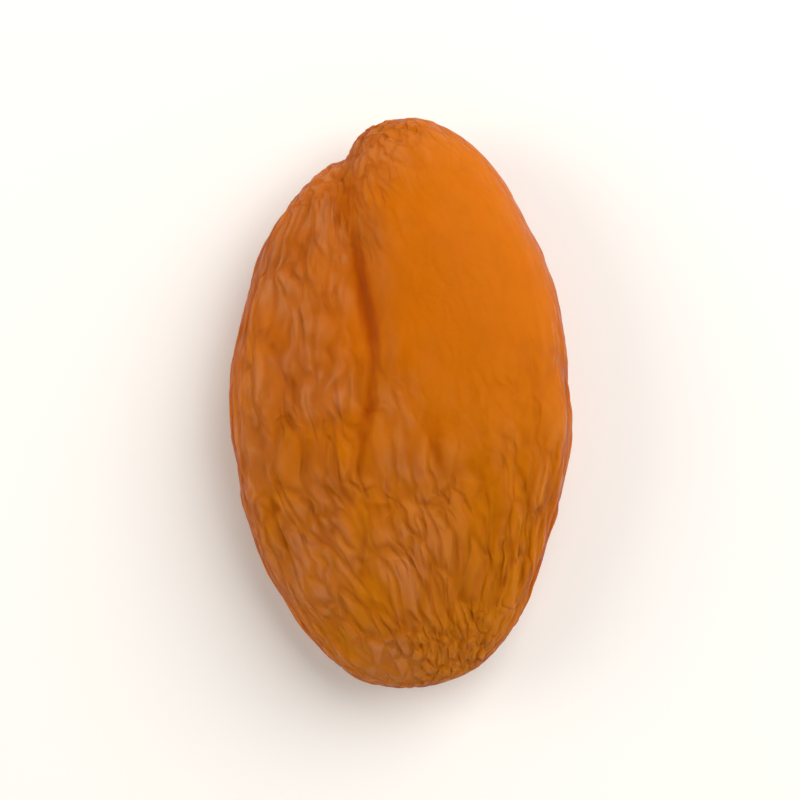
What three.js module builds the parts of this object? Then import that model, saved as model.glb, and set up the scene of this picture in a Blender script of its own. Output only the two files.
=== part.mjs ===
// A whole dried apricot: one fruit, stoned, pressed flat and dried, lying on its flatter face.
// Millimetres, +Z up. Y runs along the fruit from the tip (-Y) to the stem end (+Y), X across it.
// The origin is under the middle of the fruit, on the surface that it lies on.
import * as THREE from 'three';
import { mergeVertices } from 'three/addons/utils/BufferGeometryUtils.js';
import { ImprovedNoise } from 'three/addons/math/ImprovedNoise.js';

// The whole fruit, before it is creased
const LENGTH = 49.6;
const WIDTH = 29.9;
const CROWN = 8.3; // from the middle of the rim up to the top
const BELLY = 5.7; // and down to the underside
const FULLNESS = 0.13; // 0 is an ellipsoid, more is a plumper pillow
const CURL = 0.7; // how far both ends rise
const TWIST = 0.6; // how far the corners rise and fall

// How the outline departs from an oval: [waves round the fruit, share of the radius, phase in degrees]
const OUTLINE_WAVES = [
  [1, 0.022, -46],
  [2, 0.009, -87],
  [3, 0.015, -162],
];

// The line from the tip to the stem scar isn't quite along Y, and the scar lies under the rim.
const AXIS_TURN = 20; // degrees
const AXIS_DROP = 9;

// Faces of the solid round that line and along it, and how they are crowded where the fruit is flat
const FACES_ROUND = 112;
const FACES_ALONG = 52;
const CROWD_ROUND = 0.35;
const CROWD_ALONG = 0.35;

// The groove is the fruit's suture. It comes over the stem end from the stem scar and dies out past
// the middle of the face. The lobe on its +X side stands higher than the other.
const GROOVE_X = -2.7;
const GROOVE_BEND = 3.2; // how far it leans to -X at the stem end
const GROOVE_SWAY = 0.45; // how far it sways to either side
const GROOVE_SWAY_LENGTH = 25;
const GROOVE_SWAY_Y = 9.4; // where it crosses its middle line
const GROOVE_DEPTH = 1.3;
const GROOVE_WIDTH = 2;
const GROOVE_START_Y = 12;
const GROOVE_END_Y = -14;
const GROOVE_AT_RIM = 0.55; // its depth there, as a share
const LOBE_RISE = 0.75;
const LOBE_WIDTH = 10;
const GROOVE_CALM = 0.55; // how much of the wrinkling is missing along it, as a share

// Lasting creases of the upper face, each along the fruit: its middle, half its length, how far its
// +Y end leans to +X, and its depth
const CREASES = [
  { x: -9.2, y: -1, reach: 8, lean: 0.3, depth: 0.5 },
  { x: -8, y: 12.5, reach: 7, lean: 1, depth: 0.3 },
  { x: -5.6, y: 4.5, reach: 7, lean: 1, depth: 0.25 },
  { x: -10.2, y: -11.5, reach: 8, lean: -3, depth: 0.4 },
  { x: -6.4, y: -11, reach: 7, lean: -1.2, depth: 0.35 },
  { x: -3.2, y: -13, reach: 7, lean: -0.4, depth: 0.4 },
  { x: 0.2, y: -11.5, reach: 7, lean: -1.5, depth: 0.4 },
  { x: 2.9, y: -4.5, reach: 7, lean: -2.3, depth: 0.35 },
  { x: 3.9, y: -15, reach: 6, lean: -0.8, depth: 0.25 },
  { x: 7.2, y: -9.5, reach: 8, lean: 0.2, depth: 0.2 },
  { x: 10.4, y: -5, reach: 9, lean: 1, depth: 0.2 },
];
const CREASE_WIDTH = 1.1;

// The stem scar is a puckered dimple. The slit that the stone came out by, pressed shut again, runs
// along the rim through it.
const SCAR_DEPTH = 0.9;
const SCAR_RADIUS = 1.8;
const PUCKERS = 7;
const PUCKER_HEIGHT = 0.16;
const PUCKER_RING = 1.2; // how far out they lie, in radii of the scar
const SLIT_DEPTH = 0.4;
const SLIT_REACH = 11;
const SLIT_WIDTH = 0.8;

// The underside sinks in over the empty stone hollow, and the fruit rests on both sides of that.
const HOLLOW_DEPTH = 1.7;
const HOLLOW_HALF_WIDTH = 5.2;
const HOLLOW_HALF_LENGTH = 11;
const HOLLOW_CREASE = 0.5;
const HOLLOW_CREASE_LEAN = 0.12;
const REST_SINK = 0.33; // how much of the underside its own weight has pressed flat

// Wrinkled skin: ridges that run from end to end with sharp valleys between them, fine among coarse
const GIRTH = 72;
const WRINKLES = [
  { spacing: 3.4, height: 0.36, seed: 11 },
  { spacing: 2.1, height: 0.66, seed: 31 },
];
const RIDGE_MIDDLE = 0.2; // as a share of its height, what lies under the unwrinkled skin
const WRINKLE_STRETCH = 3.1; // how much longer a wrinkle is than it is wide
const WRINKLE_SWAY = 1.5;
const SWAY_SPACING = 6;
const END_ROUGHNESS = 0.5; // how wrinkled the two ends are, as a share
const UNDER_ROUGHNESS = 0.8; // and the underside
const SWELLS = 0.65; // broad lumps under the skin
const SWELL_SPACING = 10;
// The plump side of the upper face, towards the stem end, is smooth.
const SMOOTH_X = 6.5;
const SMOOTH_Y = 8.5;
const SMOOTH_RADIUS = 11;
const SMOOTH_LENGTHEN = 1.35;
const SMOOTH_ROUGHNESS = 0.14;
const SMOOTH_FADE = [0.35, 1.25]; // where it turns into wrinkled skin, in radii
const END_FADE = [0.3, 0.48]; // where the ends begin and end, as shares of the length
const POLE_FADE = [0.1, 0.5]; // wrinkles die out where they meet, this far from the axis

// Where the faces of the fruit begin and end: the height of a direction, -1 down to 1 up
const UPPER_FACE = [-0.1, 0.35];
const LOWER_FACE = [-0.5, -0.1];
const OVER_RIM = [-0.5, -0.05];

const { abs, asin, atan2, cos, exp, hypot, max, sin, tanh, PI } = Math;
const { clamp, degToRad, lerp, smoothstep } = THREE.MathUtils;
const noise = new ImprovedNoise();

// 1 at the middle of a hump, and 0 from its edge outwards
const hump = (distance) => (abs(distance) < 1 ? (1 - distance ** 2) ** 2 : 0);

const bell = (distance) => exp(-(distance ** 2));

// A pinched furrow between round shoulders, 1 at its bottom
const furrow = (distance) => 0.7 * bell(distance) + 0.3 * bell(2.2 * distance);

// The unwrinkled fruit, at a direction from its middle
function pillow(d) {
  const turn = atan2(d.y, d.x);
  const flat = 1 - d.z ** 2;
  const outline = OUTLINE_WAVES.reduce(
    (sum, [waves, share, phase]) => sum + share * flat * cos(waves * turn - degToRad(phase)),
    1,
  );
  const swell = outline * (1 + FULLNESS * d.z ** 2);
  const x = (WIDTH / 2) * d.x * swell;
  const y = (LENGTH / 2) * d.y * swell;
  const along = (2 * y) / LENGTH;
  const across = (2 * x) / WIDTH;
  const lift = CURL * along ** 2 + TWIST * along * across;
  return new THREE.Vector3(x, y, (d.z > 0 ? CROWN : BELLY) * d.z + lift);
}

// The direction of a point that is given by its turn round the fruit and its rise from end to end
function directionOf(turn, rise) {
  const spreadTurn = turn + (CROWD_ROUND / 2) * sin(2 * turn);
  const spreadRise = rise - (CROWD_ALONG / 2) * sin(2 * rise);
  return new THREE.Vector3(
    cos(spreadRise) * cos(spreadTurn),
    sin(spreadRise),
    cos(spreadRise) * sin(spreadTurn),
  )
    .applyAxisAngle(new THREE.Vector3(1, 0, 0), degToRad(-AXIS_DROP))
    .applyAxisAngle(new THREE.Vector3(0, 0, 1), degToRad(AXIS_TURN));
}

const scar = pillow(directionOf(0, PI / 2));

// How far to +X of the suture a point lies, and how much of the suture is left there
function fromGroove(x, y) {
  const sway = GROOVE_SWAY * sin((2 * PI * (y - GROOVE_SWAY_Y)) / GROOVE_SWAY_LENGTH);
  return x - GROOVE_X + GROOVE_BEND * max(0, (2 * y) / LENGTH) ** 2 + sway;
}

const grooveShare = (y) => smoothstep(y, GROOVE_END_Y, GROOVE_START_Y);

// How far the suture draws the skin in, and lifts the lobe beside it
function groove(x, y) {
  const away = fromGroove(x, y);
  const fade = grooveShare(y) * lerp(1, GROOVE_AT_RIM, smoothstep(y, GROOVE_START_Y, LENGTH / 2));
  const step = tanh(away / GROOVE_WIDTH) * bell(away / LOBE_WIDTH);
  return fade * (GROOVE_DEPTH * furrow(away / GROOVE_WIDTH) - LOBE_RISE * step);
}

function creases(x, y) {
  return CREASES.reduce((sum, { x: middle, y: centre, reach, lean, depth }) => {
    const along = (y - centre) / reach;
    return sum + depth * hump(along) * furrow((x - middle - lean * along) / CREASE_WIDTH);
  }, 0);
}

function hollow(x, y) {
  const dent = bell(x / HOLLOW_HALF_WIDTH) * bell(y / HOLLOW_HALF_LENGTH);
  const crease = hump(y / HOLLOW_HALF_LENGTH) * furrow((x - HOLLOW_CREASE_LEAN * y) / CREASE_WIDTH);
  return HOLLOW_DEPTH * dent + HOLLOW_CREASE * crease;
}

function stemScar(p, turn) {
  const away = p.distanceTo(scar) / SCAR_RADIUS;
  const pucker = PUCKER_HEIGHT * cos(PUCKERS * turn) * bell(2 * (away - PUCKER_RING));
  const nearRim = p.y > 0 ? bell((p.z - scar.z) / SLIT_WIDTH) : 0;
  return SCAR_DEPTH * bell(away) + pucker + SLIT_DEPTH * nearRim * hump((p.x - scar.x) / SLIT_REACH);
}

// Each wrinkle is bent about, so that no two lie quite alike.
function wrinkles(p, turn, rise) {
  const { x, y, z } = p;
  const sway = WRINKLE_SWAY * noise.noise(x / SWAY_SPACING, y / SWAY_SPACING, z / SWAY_SPACING + 5);
  const bentTurn = turn + (2 * PI * sway) / GIRTH;
  const along = (rise * LENGTH) / 2 + 2 * sway;
  return WRINKLES.reduce((sum, { spacing, height, seed }) => {
    const round = GIRTH / (2 * PI * spacing);
    const lengthwise = along / (spacing * WRINKLE_STRETCH) + seed;
    const ridge = abs(noise.noise(round * cos(bentTurn), round * sin(bentTurn), lengthwise));
    return sum + height * (ridge - RIDGE_MIDDLE);
  }, 0);
}

const swells = ({ x, y, z }) => noise.noise(x / SWELL_SPACING, y / SWELL_SPACING, z / SWELL_SPACING + 3);

// How far the skin stands out from the pillow at a point, along its normal
function relief(p, d, turn, rise) {
  const above = smoothstep(d.z, ...UPPER_FACE);
  const overRim = smoothstep(d.z, ...OVER_RIM);
  const below = 1 - smoothstep(d.z, ...LOWER_FACE);
  const fromSmooth = hypot(p.x - SMOOTH_X, (p.y - SMOOTH_Y) / SMOOTH_LENGTHEN) / SMOOTH_RADIUS;
  const upper = lerp(SMOOTH_ROUGHNESS, 1, smoothstep(fromSmooth, ...SMOOTH_FADE));
  const calm = 1 - GROOVE_CALM * grooveShare(p.y) * bell(fromGroove(p.x, p.y) / GROOVE_WIDTH);
  const face = lerp(UNDER_ROUGHNESS, upper * calm, above);
  const end = lerp(1, END_ROUGHNESS, smoothstep(abs(p.y) / LENGTH, ...END_FADE));
  const roughness = face * end * smoothstep(cos(rise), ...POLE_FADE);
  return (
    SWELLS * swells(p) +
    roughness * wrinkles(p, turn, rise) -
    overRim * groove(p.x, p.y) -
    above * creases(p.x, p.y) -
    below * hollow(p.x, p.y) -
    stemScar(p, turn)
  );
}

// A ball with its poles at the tip and the stem scar is swelled to the pillow, then pushed in and out.
function driedFruit() {
  const ball = new THREE.SphereGeometry(1, FACES_ROUND, FACES_ALONG);
  ball.deleteAttribute('normal');
  ball.deleteAttribute('uv');
  const skin = mergeVertices(ball);
  const points = skin.getAttribute('position');
  const places = [];
  for (let i = 0; i < points.count; i++) {
    const turn = atan2(points.getZ(i), points.getX(i));
    const rise = asin(clamp(points.getY(i), -1, 1));
    const direction = directionOf(turn, rise);
    places.push({ turn, rise, direction });
    points.setXYZ(i, ...pillow(direction));
  }
  skin.computeVertexNormals();
  const normals = skin.getAttribute('normal').clone();
  places.forEach(({ turn, rise, direction }, i) => {
    const p = new THREE.Vector3().fromBufferAttribute(points, i);
    const out = new THREE.Vector3().fromBufferAttribute(normals, i);
    p.addScaledVector(out, relief(p, direction, turn, rise));
    points.setXYZ(i, ...p);
  });
  skin.deleteAttribute('normal');
  return setDown(skin);
}

// Sets the fruit down on its underside, which flattens where it touches, with the origin under it
function setDown(skin) {
  skin.computeBoundingBox();
  const { min } = skin.boundingBox;
  skin.translate(0, 0, -min.z - REST_SINK);
  const points = skin.getAttribute('position');
  for (let i = 0; i < points.count; i++) {
    points.setZ(i, max(0, points.getZ(i)));
  }
  skin.computeBoundingBox();
  const middle = skin.boundingBox.getCenter(new THREE.Vector3());
  skin.translate(-middle.x, -middle.y, 0);
  return skin;
}

const skinMaterial = new THREE.MeshStandardMaterial({ color: 0xd4700a, roughness: 0.45, metalness: 0 });

const fruit = new THREE.Mesh(driedFruit(), skinMaterial);
fruit.name = 'dried_apricot';

const group = new THREE.Group();
group.add(fruit);

export default group;
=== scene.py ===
# A whole dried apricot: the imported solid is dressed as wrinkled, translucent orange fruit skin.
from math import radians

import bmesh
import bpy
import numpy as np
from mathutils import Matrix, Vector, noise


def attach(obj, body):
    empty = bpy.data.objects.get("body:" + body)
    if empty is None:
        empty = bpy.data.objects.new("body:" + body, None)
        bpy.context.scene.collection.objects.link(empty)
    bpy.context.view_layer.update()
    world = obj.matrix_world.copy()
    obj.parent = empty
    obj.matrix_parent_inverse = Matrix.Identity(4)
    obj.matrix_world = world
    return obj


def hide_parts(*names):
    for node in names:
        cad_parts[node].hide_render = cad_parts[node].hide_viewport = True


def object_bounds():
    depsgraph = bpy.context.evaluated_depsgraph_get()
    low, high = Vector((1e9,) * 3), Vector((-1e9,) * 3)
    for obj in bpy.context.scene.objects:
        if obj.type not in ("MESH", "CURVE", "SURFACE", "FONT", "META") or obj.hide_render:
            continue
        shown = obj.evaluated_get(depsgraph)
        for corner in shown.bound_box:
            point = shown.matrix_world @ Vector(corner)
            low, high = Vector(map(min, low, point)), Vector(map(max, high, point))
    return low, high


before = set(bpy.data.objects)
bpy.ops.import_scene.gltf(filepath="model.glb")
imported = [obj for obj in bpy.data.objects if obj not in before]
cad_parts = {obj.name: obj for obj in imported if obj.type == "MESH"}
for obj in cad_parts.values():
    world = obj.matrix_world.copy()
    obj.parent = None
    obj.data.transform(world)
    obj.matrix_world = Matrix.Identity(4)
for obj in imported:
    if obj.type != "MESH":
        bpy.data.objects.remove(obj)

cad_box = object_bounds()
scene = bpy.context.scene

# The skin, as a finer mesh
# One closed skin over flesh, grown as a single piece.
# It is a copy of the solid's mesh, turned back into four-sided faces and subdivided.
NODE = "dried_apricot"
SUBDIVISIONS = 2
MERGE_DISTANCE = 1e-6
FACE_ANGLE = radians(60)  # the sharpest edge across which two triangles are joined
SHAPE_ANGLE = radians(70)  # how far from square the face that they make may be

skin = bpy.data.objects.new("apricot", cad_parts[NODE].data.copy())
scene.collection.objects.link(skin)

shaping = bmesh.new()
shaping.from_mesh(skin.data)
bmesh.ops.remove_doubles(shaping, verts=shaping.verts, dist=MERGE_DISTANCE)
bmesh.ops.join_triangles(
    shaping,
    faces=shaping.faces,
    angle_face_threshold=FACE_ANGLE,
    angle_shape_threshold=SHAPE_ANGLE,
)
shaping.to_mesh(skin.data)
shaping.free()

subdivision = skin.modifiers.new("finer", "SUBSURF")
subdivision.levels = subdivision.render_levels = SUBDIVISIONS
bpy.context.view_layer.update()
evaluated = skin.evaluated_get(bpy.context.evaluated_depsgraph_get())
fine_mesh = bpy.data.meshes.new_from_object(evaluated)
skin.modifiers.clear()
skin.data = fine_mesh
skin.data.materials.clear()
skin.data.shade_smooth()

# Fine wrinkles
# Drying draws the skin into narrow valleys that run from tip to stem end, with a net of finer ones
# between them. They are only cut inwards, so the fruit stays inside the solid's box.
MM = 1000  # in a metre
STEM_END = np.array((-5.0, 21.8, 4.2))
TIP = np.array((4.6, -23.3, 4.8))
NARROWEST = 0.6  # the wrinkles draw together towards both ends, down to this share of their width
SWAY = 0.9
SWAY_SPACING = 4.5
# Each layer of valleys: spacing in mm, how much longer than wide, depth in mm, seed
VALLEY_LAYERS = [(2.0, 3.2, 0.16, 3.0), (1.3, 2.6, 0.08, 17.0), (0.8, 1.8, 0.025, 41.0)]
VALLEY_SHARE = 0.2  # how much of a wrinkle's width is valley
PATCH_SPACING = 6.5  # the wrinkling is stronger in some patches than in others
PATCH_MEAN, PATCH_SWING = 0.75, 0.5
PATCH_LIMITS = (0.35, 1.2)
SMOOTH_MIDDLE = np.array((5.5, 10.5))
SMOOTH_RADII = np.array((11.0, 17.0))
SMOOTH_FADE = (0.35, 1.3)  # shares of those radii between which the wrinkles come in
SMOOTH_ABOVE = (2.5, 7)  # mm above the floor, where the smoothness comes in
SMOOTH_LEFT = 0.1  # share of the wrinkles that is left on the plump smooth dome
REST_HEIGHT = 0.5  # the underside is pressed smooth below this height
TIP_FADE = (0.3, 4.0)  # mm from the tip, between which the wrinkles come in


def vertex_array(mesh, field):
    values = np.empty(len(mesh.vertices) * 3)
    mesh.vertices.foreach_get(field, values)
    return values.reshape(-1, 3)


def noise_at(places, spacing, seed=0.0):
    offset = Vector((0, 0, seed))
    return np.array([noise.noise(Vector(place) / spacing + offset) for place in places])


def smooth_step(values, start, end):
    share = np.clip((values - start) / (end - start), 0, 1)
    return share * share * (3 - 2 * share)


places = vertex_array(skin.data, "co") * MM
normals = vertex_array(skin.data, "normal")

axis = STEM_END - TIP
half_length = np.linalg.norm(axis) / 2
axis /= np.linalg.norm(axis)
side = np.cross(axis, (0, 0, 1))
from_middle = places - (STEM_END + TIP) / 2
along = from_middle @ axis
width_there = np.sqrt(1 - np.clip(along / half_length, -1, 1) ** 2)
narrowed = np.maximum(width_there, NARROWEST)
sway = SWAY * noise_at(places, SWAY_SPACING)
across = (from_middle @ side) / narrowed + sway
up = from_middle[:, 2] / narrowed
skin_places = np.stack((across, up, along + 2 * sway), axis=1)

from_dome = np.linalg.norm((places[:, :2] - SMOOTH_MIDDLE) / SMOOTH_RADII, axis=1)
upper = smooth_step(places[:, 2], *SMOOTH_ABOVE)
dome = upper * (1 - smooth_step(from_dome, *SMOOTH_FADE))
patchiness = PATCH_MEAN + PATCH_SWING * noise_at(places, PATCH_SPACING, 9)
wrinkled = (1 - (1 - SMOOTH_LEFT) * dome) * np.clip(patchiness, *PATCH_LIMITS)
wrinkled *= smooth_step(np.linalg.norm(places - TIP, axis=1), *TIP_FADE)

cut = np.zeros(len(places))
for spacing, stretch, depth, seed in VALLEY_LAYERS:
    stretched = skin_places / (1, 1, stretch)
    cut += depth * np.exp(-((noise_at(stretched, spacing, seed) / VALLEY_SHARE) ** 2))
cut *= wrinkled * smooth_step(places[:, 2], 0, REST_HEIGHT)

places -= normals * cut[:, None]
places[:, 2] = np.maximum(places[:, 2], 0)
skin.data.vertices.foreach_set("co", (places / MM).ravel())
skin.data.update()

# What the colour of the skin depends on
# Each point is set against two smoothed copies of the skin: 1 is deep in a valley or in the groove,
# -1 a sharp ridge. These set the painted shade in the valleys and the groove and the painted highlight
# on the ridges. The bloom is partly a dry, dull film on the wrinkled side of the fruit and partly
# painted sheen, strongest on the left side.
VALLEY_PASSES = 60
VALLEY_DEEP = 0.2  # in mm
DIP_PASSES = 220
DIP_DEEP = 0.45  # in mm
BLOOM_AND_SHEEN_SPACING = 5.5
BLOOM_AND_SHEEN_FROM_X = 9.0
BLOOM_AND_SHEEN_FULL_X = -3.0
BLOOM_AND_SHEEN_PATCHES = (-0.45, 0.25)  # noise between which the bloom and painted sheen come in
BLOOM_AND_SHEEN_CLEAR = (-0.15, 0.4)  # how sunk a point is where the bloom and painted sheen end, as they do in the groove
BLOOM_AND_SHEEN_RIM_LOSS = 0.8  # share of the bloom and painted sheen that the rim loses
RIM_START = 0.75  # upward lean of the skin at which the rim starts
SCAR_RADIUS = 2.1  # in mm


def smoothed(points, edges, passes):
    ends = edges.ravel()
    other_ends = edges[:, ::-1].ravel()
    count = np.bincount(ends, minlength=len(points))
    for _ in range(passes):
        total = [np.bincount(ends, points[other_ends, i], len(points)) for i in range(3)]
        points = (points + (total / count).T) / 2
    return points


def sunk_below(level, deep):
    return np.clip(np.einsum("ij,ij->i", level - places, normals) / deep, -1, 1)


def store(mesh, name, values):
    layer = mesh.attributes.new(name, "FLOAT", "POINT")
    layer.data.foreach_set("value", values.astype(np.float32))


edges = np.empty(len(skin.data.edges) * 2, dtype=int)
skin.data.edges.foreach_get("vertices", edges)
edges = edges.reshape(-1, 2)
near_level = smoothed(places, edges, VALLEY_PASSES)
wide_level = smoothed(near_level, edges, DIP_PASSES)
store(skin.data, "sunk", sunk_below(near_level, VALLEY_DEEP))
store(skin.data, "dip", sunk_below(wide_level, DIP_DEEP))
store(skin.data, "wrinkled", np.clip(wrinkled, 0, 1))
# The bloom mask is partly a dry film and partly painted sheen on the left side, where the wall light falls
bloom_and_sheen = smooth_step(noise_at(places, BLOOM_AND_SHEEN_SPACING, 23), *BLOOM_AND_SHEEN_PATCHES)
bloom_and_sheen *= smooth_step(-places[:, 0], -BLOOM_AND_SHEEN_FROM_X, -BLOOM_AND_SHEEN_FULL_X) * (1 - dome)
bloom_and_sheen *= 1 - smooth_step(sunk_below(wide_level, DIP_DEEP), *BLOOM_AND_SHEEN_CLEAR)
# The steep rim, turned away from the lamps above, is painted darker as painted shade
rim = smooth_step(-np.abs(normals[:, 2]), -RIM_START, 0)
store(skin.data, "bloom_and_sheen", bloom_and_sheen * (1 - BLOOM_AND_SHEEN_RIM_LOSS * rim))
store(skin.data, "rim", rim)
from_scar = np.linalg.norm(places - STEM_END, axis=1) / SCAR_RADIUS
store(skin.data, "scar", np.exp(-(from_scar**2)))
layer = skin.data.attributes.new("skin_place", "FLOAT_VECTOR", "POINT")
layer.data.foreach_set("vector", skin_places.astype(np.float32).ravel())

# Dried apricot skin
# Satin, slightly sticky skin over translucent flesh: light goes a few millimetres in and comes back
# orange. Valleys are painted deeper and redder as painted shade, and so are the groove and the steep
# rim; the ridges are painted paler as a painted highlight, and the plump dome is clear and bright.
DEEP_ORANGE = "#AE5702"
CLEAR_ORANGE = "#C66A02"
# painted shade, laid in the valleys of the wrinkles
VALLEY_SHADE = "#8B3602"
# painted shade, laid in the groove
GROOVE_SHADE = "#AC3E02"
# painted highlight, laid on the ridges
RIDGE_HIGHLIGHT = "#BF762E"
MOTTLE_COLOUR = "#9A4E02"
TIP_ORANGE = "#BE7806"
# a pale dry film, and painted sheen on the left side of the fruit
BLOOM_AND_SHEEN_COLOUR = "#BE7644"
# painted shade, laid in the fine creases of the line and cell nets
CREASE_LINE_SHADE = "#883502"
# painted shade, laid on the steep rim
RIM_SHADE = "#963A02"
SCAR_COLOUR = "#5B2A0E"
# Nets of fine lines: spacing in mm, how much longer than wide, half width of a line
LONG_LINES = (2.6, 3.2, 0.08)
SHORT_LINES = (1.25, 2.8, 0.1)
CELL_NET = (1.75, 2.9, 0.24)
FILM_AND_SHEEN_LEFT = 0.35  # share of the film and painted sheen that is left in the valleys of the cell net
ROUGHNESS = (0.34, 0.5)
GLOSS = 0.1  # lower than is usual, to keep the colour as deep as in the photograph
GLOSS_TINT = "#FFD2A0"
GLOW_SHARE = 0.55
GLOW_DEPTH = 0.0026
GLOW_REACH = (1.0, 0.36, 0.06)  # red light goes deepest into the flesh
SKIN_IOR = 1.44
EASED, EVEN = "SMOOTHSTEP", "LINEAR"


def linear(hex_colour):
    parts = [int(hex_colour[i : i + 2], 16) / 255 for i in (1, 3, 5)]
    return [c / 12.92 if c <= 0.04045 else ((c + 0.055) / 1.055) ** 2.4 for c in parts] + [1]


def add(tree, kind, inputs=(), **settings):
    """A new node. Its inputs are given in order or by name, each a value or the socket it is linked to."""
    made = tree.nodes.new(kind)
    for name, value in settings.items():
        setattr(made, name, value)
    for socket, value in inputs.items() if isinstance(inputs, dict) else enumerate(inputs):
        if isinstance(value, bpy.types.NodeSocket):
            tree.links.new(value, made.inputs[socket])
        else:
            made.inputs[socket].default_value = value
    return made


material = bpy.data.materials.new("dried_apricot_skin")
material.use_nodes = True
tree = material.node_tree
shader = tree.nodes["Principled BSDF"]
where = add(tree, "ShaderNodeTexCoord").outputs["Object"]
along_fruit = add(tree, "ShaderNodeSeparateXYZ", (where,)).outputs["Y"]
skin_place = add(tree, "ShaderNodeAttribute", attribute_name="skin_place").outputs["Vector"]
on_skin = {}
for name in ("sunk", "dip", "wrinkled", "bloom_and_sheen", "rim", "scar"):
    on_skin[name] = add(tree, "ShaderNodeAttribute", attribute_name=name).outputs["Fac"]


def blotches(spacing_mm, detail=3.0, stretch=(1, 1, 1)):
    scaled = add(tree, "ShaderNodeMapping", {"Vector": where, "Scale": stretch}).outputs[0]
    inputs = {"Vector": scaled, "Scale": MM / spacing_mm, "Detail": detail}
    return add(tree, "ShaderNodeTexNoise", inputs).outputs["Fac"]


def patches(spacing_mm, detail, start, end, least, most):
    """Soft patches over the skin, that go from least to most as the blotches go from start to end."""
    inputs = (blotches(spacing_mm, detail), start, end, least, most)
    return add(tree, "ShaderNodeMapRange", inputs, interpolation_type=EASED).outputs[0]


def fine_lines(spacing_mm, stretch, half_width):
    """Thin lines along the fruit, 1 in their middles, that part and meet as a long net."""
    inputs = {"Vector": skin_place, "Scale": (1, 1, 1 / stretch)}
    stretched = add(tree, "ShaderNodeMapping", inputs).outputs[0]
    inputs = {"Vector": stretched, "Scale": 1 / spacing_mm, "Detail": 0.6}
    height = add(tree, "ShaderNodeTexNoise", inputs).outputs["Fac"]
    from_middle = add(tree, "ShaderNodeMath", (height, 0.5), operation="SUBTRACT").outputs[0]
    away = add(tree, "ShaderNodeMath", (from_middle,), operation="ABSOLUTE").outputs[0]
    inputs = (away, 0, half_width, 1, 0)
    return add(tree, "ShaderNodeMapRange", inputs, interpolation_type=EASED).outputs[0]


def skin_cells(spacing_mm, stretch, half_width):
    """The valleys of a net with plump cells between them, 1 in their middles."""
    inputs = {"Vector": skin_place, "Scale": 1 / (1.5 * spacing_mm), "Detail": 1.0}
    bend = add(tree, "ShaderNodeTexNoise", inputs).outputs["Color"]
    inputs = (bend, (spacing_mm, spacing_mm, spacing_mm), skin_place)
    bent = add(tree, "ShaderNodeVectorMath", inputs, operation="MULTIPLY_ADD").outputs[0]
    inputs = {"Vector": bent, "Scale": (1, 1, 1 / stretch)}
    stretched = add(tree, "ShaderNodeMapping", inputs).outputs[0]
    inputs = {"Vector": stretched, "Scale": 1 / spacing_mm}
    cells = add(tree, "ShaderNodeTexVoronoi", inputs, feature="DISTANCE_TO_EDGE").outputs["Distance"]
    inputs = (cells, 0, half_width, 1, 0)
    return add(tree, "ShaderNodeMapRange", inputs, interpolation_type=EASED).outputs[0]


# The lines are as strong as the wrinkling is there, and weak in the groove
inputs = (on_skin["wrinkled"], 0.1, 0.8, 0.12, 1)
on_wrinkles = add(tree, "ShaderNodeMapRange", inputs, interpolation_type=EASED).outputs[0]
inputs = (on_skin["dip"], 0.2, 0.7, 1, 0.2)
out_of_groove = add(tree, "ShaderNodeMapRange", inputs, interpolation_type=EASED).outputs[0]
inputs = (on_wrinkles, out_of_groove)
line_strength = add(tree, "ShaderNodeMath", inputs, operation="MULTIPLY").outputs[0]


def broken_up(lines, patch):
    """Lines as strong as the wrinkling is there, and broken up in patches."""
    strong = add(tree, "ShaderNodeMath", (lines, line_strength), operation="MULTIPLY").outputs[0]
    return add(tree, "ShaderNodeMath", (strong, patch), operation="MULTIPLY").outputs[0]


cell_edges = skin_cells(*CELL_NET)
long_net = broken_up(fine_lines(*LONG_LINES), patches(3.4, 2, 0.36, 0.6, 0.15, 1))
short_net = broken_up(fine_lines(*SHORT_LINES), patches(4.3, 2, 0.42, 0.62, 0, 1))
cell_net = broken_up(cell_edges, patches(6.1, 2, 0.32, 0.56, 0.25, 1))

# The dull film and the painted sheen lie in patches, on the cells and not in the valleys between them
inputs = (cell_edges, 0.1, 0.8, 1, FILM_AND_SHEEN_LEFT)
on_cells = add(tree, "ShaderNodeMapRange", inputs, interpolation_type=EASED).outputs[0]
film_and_sheen = on_skin["bloom_and_sheen"]
for thinned in (patches(1.7, 4, 0.3, 0.6, 0.4, 0.9), on_cells):
    film_and_sheen = add(tree, "ShaderNodeMath", (film_and_sheen, thinned), operation="MULTIPLY").outputs[0]

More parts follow.
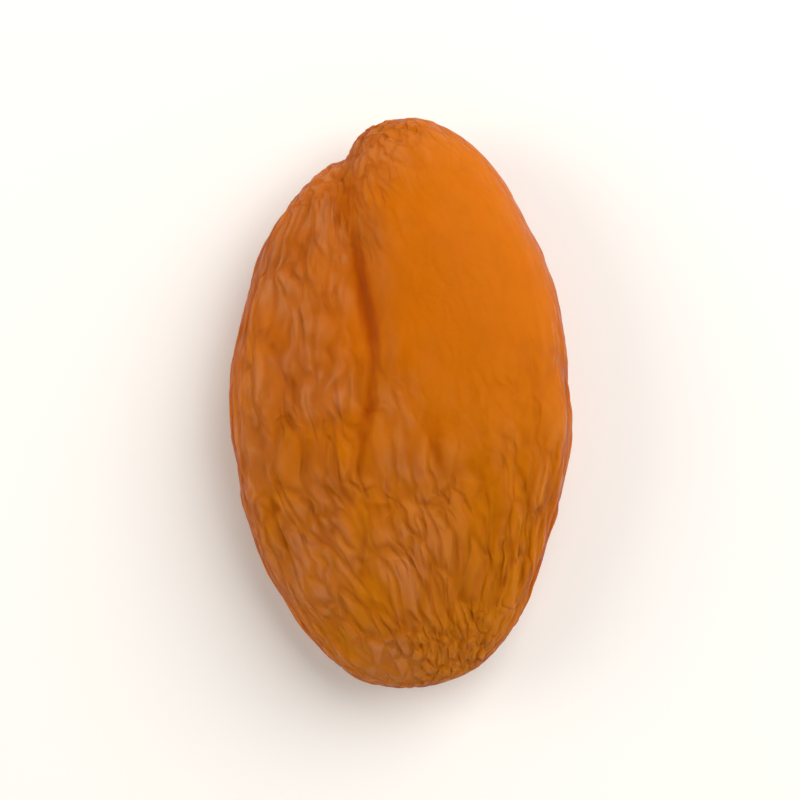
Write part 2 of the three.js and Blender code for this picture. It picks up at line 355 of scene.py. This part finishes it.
# The colours laid over the deep orange, the lowest first; some are real stains and tones, some painted
# shade, painted highlight and painted sheen: colour, what it follows, from and to what value of that,
# how much it covers at those two, and how it comes in between them
colour_layers = [
    (CLEAR_ORANGE, blotches(7), 0.38, 0.62, 0.15, 0.75, EASED),
    (CLEAR_ORANGE, on_skin["wrinkled"], 0.9, 0.15, 0, 1, EASED),
    (TIP_ORANGE, along_fruit, 0.009, -0.02, 0, 0.55, EASED),
    # the dry film and the painted sheen
    (BLOOM_AND_SHEEN_COLOUR, film_and_sheen, 0, 1, 0, 1, EVEN),
    (MOTTLE_COLOUR, blotches(1.8, 3, (1, 0.6, 1)), 0.45, 0.75, 0, 0.16, EASED),
    # painted shade on the steep rim
    (RIM_SHADE, on_skin["rim"], 0, 1, 0, 0.85, EVEN),
    # painted shade in the groove
    (GROOVE_SHADE, on_skin["dip"], 0, 0.8, 0, 0.6, EASED),
    # painted shade in the valleys of the wrinkles
    (VALLEY_SHADE, on_skin["sunk"], 0.05, 1, 0, 0.5, EASED),
    # painted highlight on the ridges
    (RIDGE_HIGHLIGHT, on_skin["sunk"], -0.1, -0.9, 0, 0.35, EASED),
    # the next three are painted shade in the fine creases of the nets
    (CREASE_LINE_SHADE, long_net, 0, 1, 0, 0.28, EVEN),
    (CREASE_LINE_SHADE, short_net, 0, 1, 0, 0.2, EVEN),
    (CREASE_LINE_SHADE, cell_net, 0, 1, 0, 0.27, EVEN),
    (SCAR_COLOUR, on_skin["scar"], 0.15, 0.95, 0, 0.85, EASED),
]
base = linear(DEEP_ORANGE)
for colour, follows, start, end, least, most, comes_in in colour_layers:
    inputs = (follows, start, end, least, most)
    share = add(tree, "ShaderNodeMapRange", inputs, interpolation_type=comes_in).outputs[0]
    inputs = {"Factor": share, 6: base, 7: linear(colour)}
    base = add(tree, "ShaderNodeMix", inputs, data_type="RGBA").outputs[2]

# Bumps, the lowest first: what they follow, strength, height in metres, less than 0 for a valley
bumps = [
    (blotches(0.45, 4), 0.35, 0.00006),
    (blotches(1.4, 2), 0.5, 0.0001),
    (short_net, 1, -0.00009),
    (long_net, 1, -0.00013),
    (cell_net, 1, -0.0002),
]
relief = {}
for follows, strength, bump_height in bumps:
    inputs = {"Height": follows, "Strength": strength, "Distance": bump_height, **relief}
    relief = {"Normal": add(tree, "ShaderNodeBump", inputs).outputs[0]}

tree.links.new(base, shader.inputs["Base Color"])
tree.links.new(patches(2.2, 3, 0.35, 0.7, *ROUGHNESS), shader.inputs["Roughness"])
tree.links.new(relief["Normal"], shader.inputs["Normal"])
shader.inputs["IOR"].default_value = SKIN_IOR
shader.inputs["Specular IOR Level"].default_value = GLOSS
shader.inputs["Specular Tint"].default_value = linear(GLOSS_TINT)
shader.inputs["Subsurface Weight"].default_value = GLOW_SHARE
shader.inputs["Subsurface Radius"].default_value = GLOW_REACH
shader.inputs["Subsurface Scale"].default_value = GLOW_DEPTH

skin.data.materials.append(material)
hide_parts(NODE)
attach(skin, "root")

# Floor
# A plain matt white table top, far wider than the view. Beyond the reach of the lamps it is lit from
# within, so that it stays white as far as the horizon.
FLOOR_HALF_WIDTH = 3.0
FLOOR_COLOUR = "#FCFCFC"
FLOOR_ROUGHNESS = 0.9
FLOOR_GLOSS = 0.1
LIT_FROM, LIT_FULLY = 0.12, 0.4  # metres from the fruit
FAR_LIGHT = 0.66
ROOM_COLOUR = "#FFFBF5"

floor_mesh = bpy.data.meshes.new("floor")
shaping = bmesh.new()
bmesh.ops.create_grid(shaping, x_segments=1, y_segments=1, size=FLOOR_HALF_WIDTH)
shaping.to_mesh(floor_mesh)
shaping.free()
floor = bpy.data.objects.new("floor", floor_mesh)
scene.collection.objects.link(floor)
floor_material = bpy.data.materials.new("matt_white")
floor_material.use_nodes = True
floor_shader = floor_material.node_tree.nodes["Principled BSDF"]
floor_shader.inputs["Base Color"].default_value = linear(FLOOR_COLOUR)
floor_shader.inputs["Roughness"].default_value = FLOOR_ROUGHNESS
floor_shader.inputs["Specular IOR Level"].default_value = FLOOR_GLOSS
floor_tree = floor_material.node_tree
on_floor = add(floor_tree, "ShaderNodeTexCoord").outputs["Object"]
away = add(floor_tree, "ShaderNodeVectorMath", (on_floor,), operation="LENGTH").outputs["Value"]
inputs = (away, LIT_FROM, LIT_FULLY, 0, FAR_LIGHT)
far_light = add(floor_tree, "ShaderNodeMapRange", inputs, interpolation_type=EASED).outputs[0]
floor_tree.links.new(far_light, floor_shader.inputs["Emission Strength"])
floor_shader.inputs["Emission Color"].default_value = linear(ROOM_COLOUR)
floor_mesh.materials.append(floor_material)

# Soft studio light
# A large soft lamp from the upper right, a pale wall of light at the left that gives the left lobe
# its sheen, and a room with bright walls and a dim ceiling.
WALL_LIGHT, CEILING_LIGHT = 0.96, 0.18
WALL_TOP, CEILING_START = 0.15, 0.8  # upward share of a direction, between which the light fades
# Each light: name, place and width in metres, power in watts, colour
LIGHTS = [
    ("lamp", (0.24, 0.20, 0.36), 0.5, 2.4, "#FFFAF4"),
    ("wall", (-0.36, 0.04, 0.24), 0.24, 0.6, "#FFF3E4"),
]
middle = (Vector(cad_box[0]) + Vector(cad_box[1])) / 2

world = bpy.data.worlds.new("pale_room")
scene.world = world
world.use_nodes = True
room = world.node_tree
direction = add(room, "ShaderNodeTexCoord").outputs["Generated"]
height = add(room, "ShaderNodeSeparateXYZ", (direction,)).outputs["Z"]
inputs = (height, WALL_TOP, CEILING_START, WALL_LIGHT, CEILING_LIGHT)
strength = add(room, "ShaderNodeMapRange", inputs, interpolation_type=EASED).outputs[0]
background = room.nodes["Background"]
background.inputs["Color"].default_value = linear(ROOM_COLOUR)
room.links.new(strength, background.inputs["Strength"])


def soft_light(name, place, width, power, colour):
    lamp = bpy.data.lights.new(name, "AREA")
    lamp.size = width
    lamp.energy = power
    lamp.color = linear(colour)[:3]
    holder = bpy.data.objects.new(name, lamp)
    scene.collection.objects.link(holder)
    holder.location = place
    holder.rotation_euler = (middle - holder.location).to_track_quat("-Z", "Y").to_euler()


for light in LIGHTS:
    soft_light(*light)

# Camera
# It looks almost straight down, as in the photograph, but closer, so that the fruit fills the frame.
# Colours are shown as they are, without a film look.
AZIMUTH = 0
ELEVATION = 86
FILL = 0.72  # share of the frame's height that the fruit takes
FOCAL_LENGTH = 85
SENSOR = 36
NEAREST_SEEN = 0.005  # in metres

camera = bpy.data.objects.new("camera", bpy.data.cameras.new("camera"))
scene.collection.objects.link(camera)
camera.data.lens = FOCAL_LENGTH
camera.data.sensor_width = SENSOR
level = np.cos(radians(ELEVATION))
east = np.sin(radians(AZIMUTH)) * level
north = -np.cos(radians(AZIMUTH)) * level
back = Vector((east, north, np.sin(radians(ELEVATION))))
length = cad_box[1][1] - cad_box[0][1]
distance = length / FILL * FOCAL_LENGTH / SENSOR
camera.location = middle + back * distance
camera.rotation_mode = "QUATERNION"
camera.rotation_quaternion = (-back).to_track_quat("-Z", "Y")
camera.data.clip_start = NEAREST_SEEN
scene.camera = camera
scene.view_settings.view_transform = "Standard"
